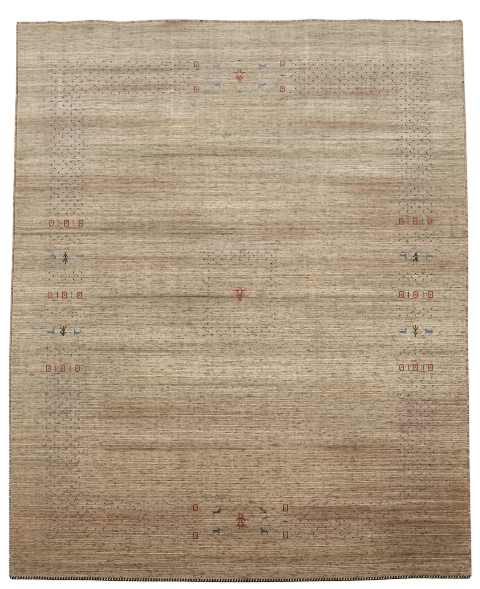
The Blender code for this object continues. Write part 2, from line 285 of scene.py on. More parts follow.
# thin lines of one or two rows: x0, x1, y, rows, lot, how much
Streak = namedtuple("Streak", "x0 x1 y rows lot much")
STREAKS = [Streak(*p) for p in (
    (60, 195, 47.6, 1, "dark", 0.55), (85, 200, 69.5, 2, "dark", 0.45), (235, 330, 69.0, 1, "brown", 0.9),
    (100, 175, 84.0, 1, "brown", 0.8), (190, 250, 92.5, 2, "green_grey", 0.8), (40, 120, 97.0, 1, "brown", 0.7),
    (20, 46, 88.0, 3, "green_grey", 0.8), (115, 178, 145.0, 1, "dark", 0.6), (80, 240, 155.0, 1, "dark", 0.6),
    (200, 265, 150.5, 2, "brown", 0.9), (395, 440, 155.0, 2, "dark", 0.5), (150, 330, 174.5, 1, "brown", 0.9),
    (90, 170, 182.0, 2, "deep", 0.5), (15, 240, 229.0, 1, "dark", 0.5), (15, 100, 234.6, 2, "dark", 0.75),
    (95, 240, 233.6, 1, "dark", 0.7), (240, 400, 233.0, 1, "brown", 0.8), (395, 466, 238.0, 1, "dark", 0.5),
    (30, 90, 244.0, 1, "brown", 0.8), (120, 330, 262.5, 1, "brown", 0.7), (415, 466, 265.0, 2, "deep", 0.6),
    (20, 210, 281.5, 1, "brown", 0.7), (86, 215, 297.4, 1, "dark", 1.25), (200, 245, 297.6, 1, "dark", 0.9),
    (240, 400, 297.6, 1, "deep", 0.7), (60, 140, 317.0, 1, "brown", 0.9), (86, 160, 331.5, 1, "pale", 0.8),
    (100, 160, 350.5, 3, "green_grey", 0.7), (160, 330, 352.0, 1, "brown", 0.8), (395, 466, 353.5, 2, "deep", 0.8),
    (88, 130, 348.5, 1, "cream", 0.9), (110, 290, 385.0, 1, "dark", 0.5), (20, 200, 390.5, 1, "brown", 0.8),
    (98, 205, 409.0, 2, "deep", 0.5), (96, 190, 418.0, 1, "deep", 0.5), (85, 240, 449.0, 2, "dark", 0.6),
    (325, 460, 447.5, 2, "deep", 0.7), (20, 150, 437.0, 1, "brown", 0.8), (240, 350, 455.0, 1, "brown", 0.9),
    (20, 110, 463.0, 1, "brown", 0.8), (330, 462, 470.0, 1, "deep", 0.6), (60, 300, 481.0, 1, "brown", 0.8),
    (340, 466, 489.0, 2, "deep", 0.6), (20, 260, 496.0, 1, "brown", 0.9), (300, 440, 511.0, 2, "deep", 0.7),
    (20, 190, 511.0, 1, "brown", 1.0), (60, 200, 520.5, 2, "deep", 0.5), (300, 460, 519.0, 2, "deep", 0.6),
    (200, 290, 534.5, 1, "dark", 0.4), (340, 462, 531.0, 2, "deep", 0.6), (20, 150, 549.5, 2, "brown", 0.9),
    (65, 225, 557.0, 2, "dark", 0.6), (160, 300, 553.0, 1, "pale", 0.9), (100, 150, 566.0, 2, "green_grey", 0.9),
    (225, 300, 563.0, 1, "deep", 0.8), (300, 450, 557.0, 1, "deep", 0.7), (400, 462, 545.0, 2, "deep", 0.6),
    (60, 110, 571.0, 1, "dark", 0.6), (300, 420, 568.0, 2, "deep", 0.5),
)]
SMUDGES = [(42, 58, 3.2, 2.4), (91, 29.5, 3.5, 2.2), (464, 233, 2.5, 2.5), (172, 22.5, 8, 2.0)]


def to_linear(c):
    c = np.asarray(c, float)
    return np.where(c <= 0.04045, c / 12.92, ((c + 0.055) / 1.055) ** 2.4)


def colour(r, g, b):
    """A screen colour from 0 to 255 as the cloth's own linear colour under this light."""
    return tuple(to_linear(np.array([r, g, b]) / 255) / LIGHT)


def soft_step(v, width):
    return 0.5 * (1 + np.tanh(v / width))


def runs(rows, cols, across, along, seed):
    """Random shades that change slowly across and quickly from row to row, about -2 to 2."""
    r = np.random.default_rng(seed)
    knots_x, knots_y = max(int(across), 2) + 3, max(int(along), 2) + 3
    grid = r.normal(0, 1, (knots_y, knots_x))
    at_y = np.linspace(0.5, knots_y - 2.5, rows) + r.uniform(-0.3, 0.3)
    at_x = np.linspace(0.5, knots_x - 2.5, cols)
    iy, ix = at_y.astype(int), at_x.astype(int)
    fy, fx = at_y - iy, at_x - ix
    fx = fx * fx * (3 - 2 * fx)
    fy = fy * fy * (3 - 2 * fy)
    g0 = grid[iy][:, ix] * (1 - fx) + grid[iy][:, ix + 1] * fx
    g1 = grid[iy + 1][:, ix] * (1 - fx) + grid[iy + 1][:, ix + 1] * fx
    out = g0 * (1 - fy[:, None]) + g1 * fy[:, None]
    return out / out.std()


def paint(px, py):
    """Screen colours of the field at a grid of places, rows first, and how strong its grain is."""
    rows, cols = px.shape
    ground_y = [g[0] for g in GROUND]
    tone = np.stack([np.interp(py, ground_y, [g[1][c] for g in GROUND]) for c in range(3)], -1) / 255

    # every row of knots ends a shade in its own place
    rag_x = 9.0 * runs(rows, cols, 3, rows * 0.7, 5) + 3.5 * runs(rows, cols, 2, rows / 4, 6)
    rag_y = 1.1 * runs(rows, cols, 9, 60, 7)
    vary = np.clip(1 + 0.45 * runs(rows, cols, 5, rows * 0.7, 8) + 0.15 * runs(rows, cols, 3, rows / 5, 9), 0, 2.2)
    for p in PATCHES:
        small = min(1.0, (p.x1 - p.x0) / 60)
        x, y = px + rag_x * small, py + rag_y * min(1.0, (p.y1 - p.y0) / 9)
        fade_x, fade_y = 8 * small + 1.0, 1.2 + 0.05 * (p.y1 - p.y0)
        inside = (soft_step(x - p.x0, fade_x) * soft_step(p.x1 - x, fade_x)
                  * soft_step(y - p.y0, fade_y) * soft_step(p.y1 - y, fade_y))
        k = (inside * p.much * vary)[..., None]
        tone = tone * np.power(np.array(LOTS[p.lot]), k)
    for p in STREAKS:
        x = px + 1.2 * rag_x
        tall = 0.45 * p.rows + 0.15
        slow = 0.5 * runs(rows, cols, 6, 3, 11) * 0.8
        inside = soft_step(x - p.x0, 9) * soft_step(p.x1 - x, 9) * np.exp(-(((py - slow - p.y) / tall) ** 2))
        broken = np.clip(0.85 + 0.4 * runs(rows, cols, 26, rows, 12), 0, 1.5)
        tone = tone * np.power(np.array(LOTS[p.lot]), (inside * p.much * broken * 1.3)[..., None])
    for x, y, w, h in SMUDGES:
        inside = np.exp(-(((px - x) / w) ** 2 + ((py - y) / h) ** 2))
        tone = tone * np.power(np.array(LOTS["dark"]), (0.7 * inside)[..., None])

    grain = np.interp(py, [22, 60, 150, 345, 420, 500, 560, 580], [0.048, 0.052, 0.063, 0.083, 0.087, 0.095, 0.108, 0.108])
    grain = grain * (1 - 0.14 * soft_step(60 - px, 12) + 0.04 * soft_step(px - 425, 12))

    # yarn runs: single rows, small groups of rows, and wide bands
    shade = grain * (0.22 * runs(rows, cols, 5, rows * 0.9, 21) + 0.12 * runs(rows, cols, 16, rows * 0.9, 22))
    shade = shade + 0.12 * grain * runs(rows, cols, 4, rows / 4, 23) + 0.008 * runs(rows, cols, 4, rows / 14, 24)
    shade = shade + 0.20 * grain * np.clip((py - 490) / 40, 0, 1) * runs(rows, cols, 2, rows / 2.6, 29)
    shade = shade + 0.26 * grain * np.clip((190 - py) / 80, 0, 1) * runs(rows, cols, 3, rows / 2.6, 30)
    shade = shade + np.interp(py, [250, 300, 400, 440], [0.0, 0.018, 0.018, 0.006]) * runs(rows, cols, 5, rows / 24, 31)

    # painted shade: the pile leans a little differently from column to column, and the columns are painted lighter and
    # darker as the leaning pile would take the light
    lean_shade = np.interp(py, [60, 150, 330, 580], [0.013, 0.009, 0.009, 0.007])
    shade = shade + lean_shade * runs(rows, cols, 72, 9, 25) + 0.010 * runs(rows, cols, 14, 5, 32)
    warm = 0.0025 * runs(rows, cols, 5, rows / 6, 26) + 0.004 * runs(rows, cols, 9, rows * 0.8, 27)

    # the pile stands open on a crease and shows paler: partly the opened pile, partly a painted highlight along the
    # crease ridge
    x, y = spot(px, py)
    crease_highlight = 0.0
    for c in CREASES:
        f = 0.5 + y / LENGTH
        middle = c.x_bottom + (c.x_top - c.x_bottom) * f
        crease_highlight = crease_highlight + np.exp(-(((x - middle) / 0.0045) ** 2)) * np.clip((200 - py) / 90, 0.10, 1)
    crease_highlight = crease_highlight * np.clip(0.9 + 0.5 * runs(rows, cols, 9, 24, 28), 0.1, 1.6)
    shade = shade + 0.085 * crease_highlight

    gain = np.stack([0.90 * shade + warm, 1.01 * shade, 1.20 * shade - 1.2 * warm], -1)
    return np.clip(tone * (1 + gain), 0.02, 0.98), grain


# --- meshes ------------------------------------------------------------------------

CORNER_ROUND = {(-1, -1): 0.017, (1, -1): 0.020, (-1, 1): 0.008, (1, 1): 0.012}


def round_corners(points):
    """Draws the outline's four square corners in to soft round ones, and lifts the top right one a little."""
    p = np.array(points, float)
    ear = np.exp(-(((p[:, 0] - 1.196) / 0.012) ** 2)) * np.clip((p[:, 1] - 1.440) / 0.060, 0, 1) ** 2
    p[:, 1] += 0.0035 * ear
    for (sx, sy), reach in CORNER_ROUND.items():
        corner_x, corner_y = (float(v[0, 0]) for v in place([sx], [sy], 0.0))
        in_x, in_y = reach - (corner_x - p[:, 0]) * sx, reach - (corner_y - p[:, 1]) * sy
        near = (in_x > 0) & (in_y > 0)
        far = np.hypot(in_x, in_y)
        k = np.where(near, np.maximum(in_x, in_y) / np.maximum(far, 1e-9), 1.0)
        p[:, 0] += np.where(near, sx * in_x * (k - 1), 0.0)
        p[:, 1] += np.where(near, sy * in_y * (k - 1), 0.0)
    return p


def link(name, mesh):
    obj = bpy.data.objects.new(name, mesh)
    bpy.context.scene.collection.objects.link(obj)
    return obj


def make_mesh(name, verts, faces, smooth=True):
    mesh = bpy.data.meshes.new(name)
    mesh.from_pydata(np.asarray(verts, float).tolist(), [], faces)
    if smooth:
        mesh.shade_smooth()
    return mesh


def add_point_colour(mesh, name, rgb):
    a = mesh.attributes.new(name, "FLOAT_COLOR", "POINT")
    rgba = np.ones((len(mesh.vertices), 4), np.float32)
    rgba[:, :3] = rgb
    a.data.foreach_set("color", rgba.ravel())


def add_point_value(mesh, name, values):
    a = mesh.attributes.new(name, "FLOAT", "POINT")
    a.data.foreach_set("value", np.asarray(values, np.float32))


def add_uv(mesh, name, uv):
    layer = mesh.uv_layers.new(name=name)
    layer.data.foreach_set("uv", np.asarray(uv, np.float32).ravel())


# --- materials ---------------------------------------------------------------------


class Net:
    """A small helper that wires up one procedural material."""

    def __init__(self, name, roughness, sheen=0.0):
        self.mat = bpy.data.materials.new(name)
        self.mat.use_nodes = True
        self.tree = self.mat.node_tree
        self.shader = self.tree.nodes["Principled BSDF"]
        self.shader.inputs["Roughness"].default_value = roughness
        self.shader.inputs["Specular IOR Level"].default_value = 0.25
        if sheen:
            self.shader.inputs["Sheen Weight"].default_value = sheen
            self.shader.inputs["Sheen Roughness"].default_value = 0.5

    def put(self, socket, value):
        if isinstance(value, bpy.types.NodeSocket):
            self.tree.links.new(value, socket)
        else:
            socket.default_value = value

    def node(self, kind, values=(), **settings):
        n = self.tree.nodes.new(kind)
        for k, v in settings.items():
            setattr(n, k, v)
        for k, v in dict(values).items():
            self.put(n.inputs[k], v)
        return n

    def math(self, op, a, b=0.0, c=0.0):
        return self.node("ShaderNodeMath", {0: a, 1: b, 2: c}, operation=op).outputs[0]

    def add(self, a, b):
        return self.math("ADD", a, b)

    def sub(self, a, b):
        return self.math("SUBTRACT", a, b)

    def mul(self, a, b):
        return self.math("MULTIPLY", a, b)

    def total(self, *terms):
        out = terms[0]
        for t in terms[1:]:
            out = self.add(out, t)
        return out

    def xyz(self, x, y=0.0, z=0.0):
        return self.node("ShaderNodeCombineXYZ", {0: x, 1: y, 2: z}).outputs[0]

    def split(self, v):
        return self.node("ShaderNodeSeparateXYZ", {0: v}).outputs

    def noise(self, vector, scale=1.0, detail=0.0, dims="2D", rough=0.5):
        n = self.node("ShaderNodeTexNoise", {"Vector": vector, "Scale": scale, "Detail": detail, "Roughness": rough},
                      noise_dimensions=dims)
        return n.outputs[0]

    def chance(self, x, y=0.0):
        """A fresh random number from 0 to 1 for each pair of whole numbers."""
        return self.node("ShaderNodeTexWhiteNoise", {"Vector": self.xyz(x, y)}, noise_dimensions="2D").outputs["Value"]

    def ramp(self, v, a, b, to_a=0.0, to_b=1.0):
        n = self.node("ShaderNodeMapRange", {"Value": v, "From Min": a, "From Max": b, "To Min": to_a, "To Max": to_b},
                      interpolation_type="SMOOTHSTEP")
        return n.outputs[0]

    def attribute(self, name, output="Color"):
        return self.node("ShaderNodeAttribute", attribute_name=name).outputs[output]

    def uv(self, name):
        return self.node("ShaderNodeUVMap", uv_map=name).outputs[0]

    def times(self, a, b):
        return self.node("ShaderNodeVectorMath", {0: a, 1: b}, operation="MULTIPLY").outputs[0]

    def tint(self, colour_socket, shade, gains=(0.90, 1.015, 1.22)):
        """Makes a colour paler or darker by a screen-like share; dark yarn is also browner."""
        parts = []
        for g in gains:
            v = self.math("MAXIMUM", self.add(self.mul(shade, g), 1.0), 0.12)
            parts.append(self.math("POWER", v, 2.2))
        return self.times(colour_socket, self.xyz(*parts))

    def bump(self, height, distance, strength=1.0):
        n = self.node("ShaderNodeBump", {"Height": height, "Distance": distance, "Strength": strength})
        self.put(self.shader.inputs["Normal"], n.outputs[0])


def knot_rows(net, uv, row_high=KNOT_H):
    """Which row of knots a place is in, how far up the row, and the place across."""
    x, y = net.split(net.uv(uv))[0:2]
    wander = net.sub(net.noise(net.xyz(x, y), 2.3), 0.5)
    drift = net.sub(net.noise(net.xyz(net.add(x, 9.0), y), 11.0), 0.5)
    level = net.math("DIVIDE", net.total(y, net.mul(wander, 0.003), net.mul(drift, 0.0004)), row_high)
    row = net.math("FLOOR", level)
    return x, y, row, net.math("FRACT", level)


def pile_material():
    net = Net("wool_pile", 0.95, sheen=0.12)
    x, y, row, up = knot_rows(net, "KnotUV")
    grain = net.attribute("grain", "Fac")
    lane = net.add(net.mul(row, 7.0), 0.5)

    crisp = net.mul(net.ramp(grain, 0.066, 0.090), -0.30)

    def yarn(period, offset, neighbours=False):
        """A shade along each row; where the rug is coarse, rows stand out from their neighbours."""
        along = net.math("DIVIDE", x, period)
        here, above, below = (net.noise(net.xyz(along, net.add(lane, offset + 7.0 * k)), 1.0)
                              for k in ((0, 1, -1) if neighbours else (0, 0, 0)))
        n = net.sub(here, 0.5)
        if neighbours:
            n = net.add(n, net.mul(net.sub(net.add(above, below), 1.0), crisp))
        return net.mul(n, 1 / 0.145)

    slide = net.mul(net.chance(row, 3.0), 40.0)
    cell = net.math("FLOOR", net.add(net.math("DIVIDE", x, KNOT_W), slide))
    single = net.mul(net.sub(net.chance(cell, row), 0.5), 1 / 0.29)
    whole_row, long_run = yarn(1.60, 1300.0, True), yarn(0.42, 100.0, True)
    mid_run, short_run = yarn(0.060, 300.0, True), yarn(0.016, 500.0)
    dash_field = net.noise(net.xyz(net.math("DIVIDE", x, 0.030), net.add(lane, 700.0)), 1.0)
    speck_field = net.noise(net.xyz(net.math("DIVIDE", x, 0.011), net.add(lane, 900.0)), 1.0)
    dash = net.ramp(dash_field, 0.66, 0.80)
    speck = net.ramp(speck_field, 0.68, 0.80)
    thread = net.ramp(dash_field, 0.34, 0.22)
    fibre = net.mul(net.sub(net.noise(net.xyz(x, y), 620.0, 2.0), 0.5), 2.0)
    # painted shade: faint lighter and darker columns down the pile, as the leaning pile would take the light
    column = net.sub(net.noise(net.xyz(net.math("DIVIDE", x, 0.015), net.math("DIVIDE", y, 0.25)), 1.0), 0.5)

    g = net.total(net.mul(whole_row, 0.32), net.mul(long_run, 0.48), net.mul(mid_run, 0.24), net.mul(short_run, 0.14), net.mul(single, 0.54),
                  net.mul(dash, -2.3), net.mul(speck, -1.85), net.mul(thread, 0.4), net.mul(fibre, 0.35))
    # painted shade: each row of knots is painted darker at its edges, in the groove between rows, and a little paler
    # along its middle
    shade = net.total(net.mul(g, grain), net.mul(net.sub(net.math("SINE", net.mul(up, math.pi)), 0.64), 0.05), net.mul(column, 0.07))
    tone = net.tint(net.attribute("tone"), shade)
    net.put(net.shader.inputs["Base Color"], tone)
    net.put(net.shader.inputs["Roughness"], net.ramp(fibre, -0.6, 0.6, 0.88, 1.0))
    rib = net.math("SINE", net.mul(up, math.pi))
    across = net.math("SINE", net.mul(net.math("FRACT", net.add(net.math("DIVIDE", x, KNOT_W), slide)), math.pi))
    height = net.total(net.mul(rib, 0.35), net.mul(across, 0.18), net.mul(single, 0.10), net.mul(fibre, 0.50))
    net.bump(height, 0.0009, 0.55)
    return net.mat


def back_material():
    net = Net("woven_underside", 0.95)
    x, y, row, up = knot_rows(net, "KnotUV")
    grain = net.attribute("grain", "Fac")
    lane = net.add(net.mul(row, 7.0), 0.5)
    n = net.noise(net.xyz(net.math("DIVIDE", x, 0.10), lane), 1.0, 2.0)
    stagger = net.mul(net.math("FRACT", net.mul(row, 0.5)), 1.0)
    cell_x = net.add(net.math("DIVIDE", x, KNOT_W / 2), stagger)
    single = net.sub(net.chance(net.math("FLOOR", cell_x), row), 0.5)
    node = net.mul(net.math("SINE", net.mul(up, math.pi)), net.math("SINE", net.mul(net.math("FRACT", cell_x), math.pi)))
    shade = net.total(net.mul(net.mul(net.sub(n, 0.5), grain), 6.0), net.mul(single, 0.10), net.mul(net.sub(node, 0.55), 0.28))
    net.put(net.shader.inputs["Base Color"], net.tint(net.attribute("tone"), shade))
    net.put(net.shader.inputs["Roughness"], net.ramp(node, 0.0, 1.0, 1.0, 0.88))
    net.bump(net.total(node, net.mul(net.noise(net.xyz(x, y), 900.0, 2.0), 0.3)), 0.0008, 0.7)
    return net.mat


def knot_material():
    net = Net("dyed_knots", 0.95, sheen=0.1)
    at = net.node("ShaderNodeTexCoord").outputs["Object"]
    fibre = net.sub(net.noise(at, 700.0, 2.0, "3D"), 0.5)
    clump = net.sub(net.noise(at, 230.0, 1.0, "3D"), 0.5)
    shade = net.total(net.mul(fibre, 0.30), net.mul(clump, 0.35))
    net.put(net.shader.inputs["Base Color"], net.tint(net.attribute("yarn"), shade, (1.0, 1.0, 1.05)))
    net.put(net.shader.inputs["Roughness"], net.ramp(fibre, -0.3, 0.3, 0.88, 1.0))
    net.bump(net.total(net.mul(fibre, 1.0), net.mul(clump, 0.5)), 0.0008, 0.6)
    return net.mat


def stitch_material(name):
    """Plied yarn: u runs along the yarn and v round it, both in metres."""
    net = Net(name, 0.95)
    net.shader.inputs["Specular IOR Level"].default_value = 0.08
    u, v = net.split(net.uv("YarnUV"))[0:2]
    turn = net.add(net.math("DIVIDE", u, 0.0045), net.math("DIVIDE", v, 0.0060))
    ply = net.math("SINE", net.mul(turn, 2 * math.pi))
    fibre = net.sub(net.noise(net.xyz(net.mul(u, 300.0), net.mul(v, 1500.0)), 1.0, 2.0), 0.5)
    wear = net.sub(net.noise(net.node("ShaderNodeTexCoord").outputs["Object"], 60.0, 1.0, "3D"), 0.5)
    shade = net.total(net.mul(ply, 0.05), net.mul(fibre, 0.35), net.mul(wear, 0.25))
    net.put(net.shader.inputs["Base Color"], net.tint(net.attribute("yarn"), shade, (1.0, 1.0, 1.05)))
    net.put(net.shader.inputs["Roughness"], net.ramp(fibre, -0.3, 0.3, 0.82, 0.98))
    net.bump(net.total(net.mul(ply, 0.5), net.mul(fibre, 0.8)), 0.0006, 0.7)
    return net.mat


def floor_material():
    net = Net("studio_floor", 0.9)
    at = net.node("ShaderNodeTexCoord").outputs["Object"]
    soft = net.sub(net.noise(at, 0.7, 2.0, "3D"), 0.5)
    shade = net.mul(soft, 0.01)
    white = net.xyz(0.96, 0.96, 0.96)
    net.put(net.shader.inputs["Base Color"], net.tint(white, shade, (1.0, 1.0, 1.0)))
    net.shader.inputs["Specular IOR Level"].default_value = 0.0
    return net.mat


# --- the piled cloth ----------------------------------------------------------------


def field_lines():
    inner = 1 - 2 * EDGE_ROLL / WIDTH
    cols = np.linspace(-inner, inner, FIELD_COLUMNS + 1)
    extra = []
    for c in CREASES:
        middle = (c.x_top + c.x_bottom) / 2
        extra += [(middle + k) / (WIDTH / 2) for k in (-0.022, -0.012, -0.005, 0.0, 0.005, 0.012, 0.022)]
    cols = [c for c in cols if min(abs(c - e) for e in extra) > 0.0045]
    inner = 1 - 2 * EDGE_ROLL / LENGTH
    return np.array(sorted(cols + extra)), np.linspace(-inner, inner, FIELD_ROWS + 1)


def make_field():
    s, t = field_lines()
    n, m = len(s), len(t)
    x, y = place(s, t)
    flat_x = np.broadcast_to(s[None] * WIDTH / 2, x.shape)
    flat_y = np.broadcast_to(t[:, None] * LENGTH / 2, x.shape)
    px, py = pixel(x, y)
    tone, grain = paint(px, py)
    ribs = 0.00016 * rng.normal(0, 1, (m, 1)) + 0.00010 * rng.normal(0, 1, (m, n)) + 0.00018 * runs(m, n, 30, m / 5, 31)
    z = pile_height(x, y) + np.clip(ribs, -0.0006, 0.0006)

    verts = [np.stack([x, y, z], -1).reshape(-1, 3)]
    flats = [np.stack([flat_x, flat_y], -1).reshape(-1, 2)]
    tones, grains = [tone.reshape(-1, 3)], [grain.reshape(-1)]
    number = np.arange(n * m).reshape(m, n)
    faces, kinds = [], []
    a, b, c, d = number[:-1, :-1], number[:-1, 1:], number[1:, 1:], number[1:, :-1]
    faces += np.stack([a, b, c, d], -1).reshape(-1, 4).tolist()

    rim = [(i, 0) for i in range(n - 1)] + [(n - 1, j) for j in range(m - 1)]
    rim += [(i, m - 1) for i in range(n - 1, 0, -1)] + [(0, j) for j in range(m - 1, 0, -1)]
    rim_i = np.array([r[0] for r in rim])
    rim_j = np.array([r[1] for r in rim])
    side = np.where(rim_i == 0, -1, np.where(rim_i == n - 1, 1, 0))
    end = np.where(rim_j == 0, -1, np.where(rim_j == m - 1, 1, 0))
    edge_x, edge_y = {}, {}
    full_s = np.where(side != 0, side, s[rim_i])
    full_t = np.where(end != 0, end, t[rim_j])
    outer = np.array([[float(v[0, 0]) for v in place([a], [b])] for a, b in zip(full_s, full_t)])
    inner = np.stack([x[rim_j, rim_i], y[rim_j, rim_i]], -1)
    top_z = z[rim_j, rim_i]
    ring = number[rim_j, rim_i]
    count = n * m
    rim_tone, rim_grain = tone[rim_j, rim_i], grain[rim_j, rim_i]
    for out, lift, drop in ((0.60, 0.96, 0.0), (0.92, 0.78, 0.0), (1.0, 0.25, 0.0), (1.0, None, FOUNDATION)):
        at = inner + (outer - inner) * out
        height = np.zeros(len(rim)) if lift is None else FOUNDATION + (top_z - FOUNDATION) * lift
        verts.append(np.column_stack([at, height]))
        reach = EDGE_ROLL * out + drop
        flats.append(np.column_stack([s[rim_i] * WIDTH / 2 + side * reach, t[rim_j] * LENGTH / 2 + end * reach]))
        # painted light: the three upper rim rings are painted 4% paler to offset the shadow in the ditch between pile
        # and cord; the lowest ring, at the floor, is 10% darker
        rim_painted_light = 1.04 if lift is not None and lift > 0.2 else 0.9
        tones.append(rim_tone * rim_painted_light)
        grains.append(rim_grain)
        new = np.arange(count, count + len(rim))
        count += len(rim)
        nxt, nxt_new = np.roll(ring, -1), np.roll(new, -1)
        faces += np.stack([nxt, ring, new, nxt_new], -1).tolist()
        ring = new
    top_faces = len(faces)

    # underside: a coarse grid that shares the rim's lowest ring
    low = {(int(i), int(j)): int(v) for i, j, v in zip(rim_i, rim_j, ring)}
    step_i, step_j = BACK_EVERY
    ci = list(range(0, n - 1, step_i)) + [n - 1]
    rj = list(range(0, m - 1, step_j)) + [m - 1]
    back_verts, back_flat, back_tone, back_grain = [], [], [], []
    for j in rj[1:-1]:
        for i in ci[1:-1]:
            low[i, j] = count + len(back_verts)
            back_verts.append((x[j, i], y[j, i], 0.0))
            back_flat.append((flat_x[j, i], flat_y[j, i]))
            back_tone.append(tone[j, i] * 0.97)
            back_grain.append(grain[j, i])
    verts.append(np.array(back_verts))
    flats.append(np.array(back_flat))
    tones.append(np.array(back_tone))
    grains.append(np.array(back_grain))
    for j0, j1 in zip(rj, rj[1:]):
        for i0, i1 in zip(ci, ci[1:]):
            loop = [(i0, j) for j in (range(j0, j1) if i0 == 0 else (j0,))]
            loop += [(i, j1) for i in (range(i0, i1) if j1 == m - 1 else (i0,))]
            loop += [(i1, j) for j in (range(j1, j0, -1) if i1 == n - 1 else (j1,))]
            loop += [(i, j0) for i in (range(i1, i0, -1) if j0 == 0 else (i1,))]
            faces.append([low[k] for k in loop])

    mesh = make_mesh("rug_pile", round_corners(np.concatenate(verts)) + [*CENTRE, 0.0], faces)
    flat = np.concatenate(flats)
    add_point_colour(mesh, "tone", to_linear(np.concatenate(tones)) / LIGHT)
    add_point_value(mesh, "grain", np.concatenate(grains))

    corner = np.zeros(len(mesh.loops), np.int64)
    mesh.loops.foreach_get("vertex_index", corner)
    start = np.zeros(len(mesh.polygons), np.int64)
    mesh.polygons.foreach_get("loop_start", start)
    under = np.arange(len(corner)) >= start[top_faces]
    uv = flat[corner]
    add_uv(mesh, "KnotUV", uv)
    m_x, m_y = WIDTH / 2 + 0.012, LENGTH / 2 + 0.012
    u = np.where(under, 0.905 + (uv[:, 0] + m_x) / (2 * m_x) * 0.090, 0.004 + (uv[:, 0] + m_x) / (2 * m_x) * 0.890)
    add_uv(mesh, "OFBake", np.column_stack([u, 0.003 + (uv[:, 1] + m_y) / (2 * m_y) * 0.994]))
    mesh.uv_layers["OFBake"].active = True
    mesh.materials.append(pile_material())
    mesh.materials.append(back_material())
    index = np.zeros(len(mesh.polygons), np.int32)
    index[top_faces:] = 1
    mesh.polygons.foreach_set("material_index", index)
    return link("rug_pile", mesh)


# --- motifs -------------------------------------------------------------------------
# Charts are drawn one letter to a knot, the top row first.

BOX = """
XXXXX
X...X
X...X
X.o.X
X.o.X
X...X
X...X
XXXXX
"""
BOX_ROUND = """
.XXX.
X...X
X...X
X.o.X
X...X
X...X
XX..X
.XXX.
"""
BOX_PLAIN = """
XXXX.
X...X
X...X
X...X
X.o.X
X...X
XXXX.
"""
LINE = "X\nX\nX\nX\nX\nX\nX"
BROKEN = "X\nX\n.\nX\n.\nX\nX"
BENT = "X.\nX.\n..\n.X\nX.\n..\nX.\n.X"
DASH = "XXXX"
TREE = """
..X..
..X..
..X..
.XXX.
.X.X.
X.X.X
..X..
..X..
.XXX.
.X.X.
X.X.X
X.X.X
..X..
..X..
"""
TREE_FULL = """
...X..
..XX..
..XX..
.XXXX.
XX.X.X
X..X..
..XXX.
..XXX.
.XXXX.
XX.X.X
X..X.X
...X..
"""
# the goats differ a little from each other, as their knots do on such rugs
GOAT_A = """
..PPPPP.
X..XXXXP
.XXXXXX.
PPPP..XX
.....PXX
......XX
......X.
"""
GOAT_B = """
P......P
P......P
P......X
XXXXXXXX
.PPPPPX.
.PPPPP.P
P......P
P.......
"""
GOAT_C = """
P.....P.
P.....X.
XXXXXXX.
XXXXXXX.
......X.
......XX
......X.
.......X
"""
GOAT_D = """
X.......
.XPP....
.X.XXXX.
.XXXXXXX
.X.....P
.X.....P
XX......
.X......
"""
GOAT_E = """
......PX
.....PPX
......PX
P....PPX
.XXXXXXX
PXXXXXXX
P.....XX
.......X
"""
GOAT_F = """
.P.......
.X.......
PX.....P.
.X......P
.XX....P.
.XXXXXXP.
.XXXXXX.P
PX......P
"""
GOAT_G = """
.......X.
.......XX
.......X.
P......X.
.XXXXXXX.
PXXXXXX..
P......X.
P........
"""
GOAT_H = """
P.......
X......P
XPPPPPX.
.XXXXXXX
.XXXXXXX
X......P
P......P
"""
GOAT_I = """
P.....X.
P.....X.
.P...XX.
.PPPPPX.
......XX
P.....XX
......XX
.......X
"""
GOAT_J = """
P.....P.
P......P
.P....X.
.PXXXXX.
.XXXXXX.
.......X
P......X
.......X
"""
GOAT_K = """
.X.....P
XX.....P
.XXXXXXP
.XXXXXPP
.X......
XX......
.X......
.X......
"""
GOAT_L = """
X......P
X.....PP
.X..XXXP
.XXXXX..
XX......
X.......
XX......
"""
GOAT_M = """
......oo
......oX
......Xo
....XXXX
XXXXXXXo
XXXXXXX.
P......P
P.......
"""
GOAT_N = """
......X.
.....XX.
......XX
XXXXXXX.
XXXXXXX.
.X....X.
X.....X.
......X.
"""
GOAT_O = """
.X......
XX......
.XXX....
.X.XXX..
..XXXXX.
.....XXP
X...XXX.
"""
GOAT_P = """
XX......
.X......
.XX.....
.XXXXXX.
.XXXXXXX
.X.....X
.X.....X
.X......
"""
WOMAN = """
......X......
.....X.X.....
.....X.X.....
.....XXX.....
...X..X..X...
...XXXXXXX...
..X..X.X..X..
.....X.X.....
....X...X....
...X.....X...
...X.....X...
XXXXXX.XXXXXX
.....X.X.....
.....X.X.....
.....X.X.....
"""
WOMAN_TALL = """
......X......
.....X.X.....
.....X.X.....
.....X.X.....
....XXXXX....
...X..X..X...
...XXXXXXX...
..X..X.X..X..
.....X.X.....
....X...X....
....X...X....
...XX...XX...
XXXXX...XXXXX
...X..X.X....
.....X.X.....
.....X.X.....
.....X.X.....
"""
WOMAN_LOW = """
.....XXX.....
....X...X....
....X...X....
....X...X....
.....X.X.....
...XXXXXXX...
..XXXXXXXXX..
.XX..X.X..XX.
..X..X.X..X..
.....X.X.....
...X.X.X.X...
....X...X....
..X.X...X.X..
...XXX.XXX...
XXXXX.X.XXXXX
.....X.X.....
.....X.X.....
....X...X....
"""

